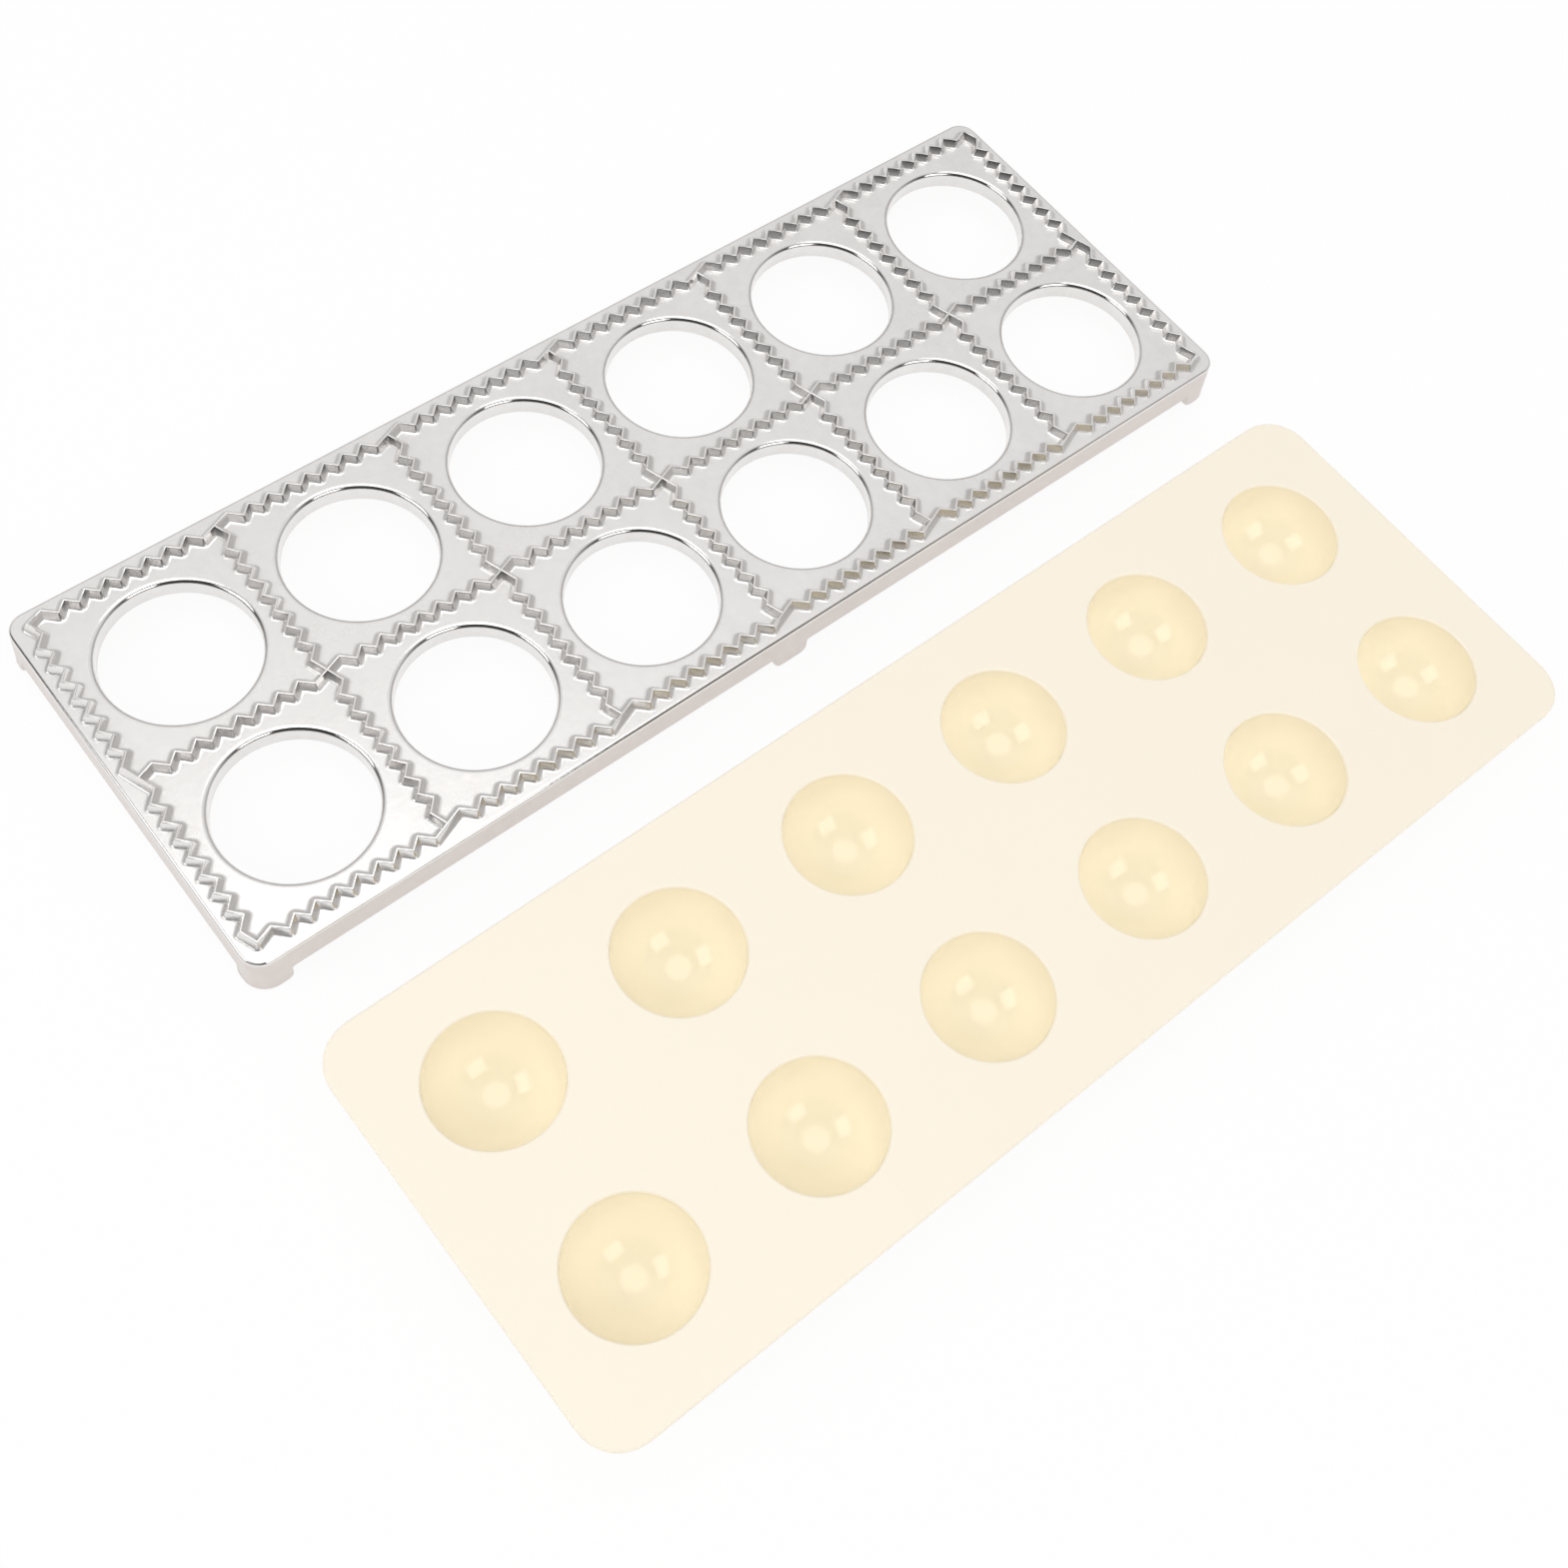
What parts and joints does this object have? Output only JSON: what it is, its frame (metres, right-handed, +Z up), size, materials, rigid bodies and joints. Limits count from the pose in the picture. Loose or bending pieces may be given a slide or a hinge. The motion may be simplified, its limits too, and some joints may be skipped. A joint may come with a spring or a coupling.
{
  "type": "ravioli mold",
  "caption": "Cast metal ravioli cutting plate with round cells and zigzag cutting ridges, and the thin plastic press tray with hollow domes that shapes the pockets.",
  "frame": {"origin": "middle of the box round both pieces, on the surface that they stand on", "axes": "+X along the row of cells, +Y from the press tray towards the cutting plate, +Z up"},
  "size_m": [0.3053, 0.2381, 0.0184],
  "materials": {
    "cast_metal": "bright die-cast, fine mottling",
    "tray_plastic": "smooth cream, satin sheet and glossy bowls"
  },
  "bodies": {
    "root": {"cutting_plate": "cast_metal", "press_tray": "tray_plastic"}
  },
  "joints": []
}
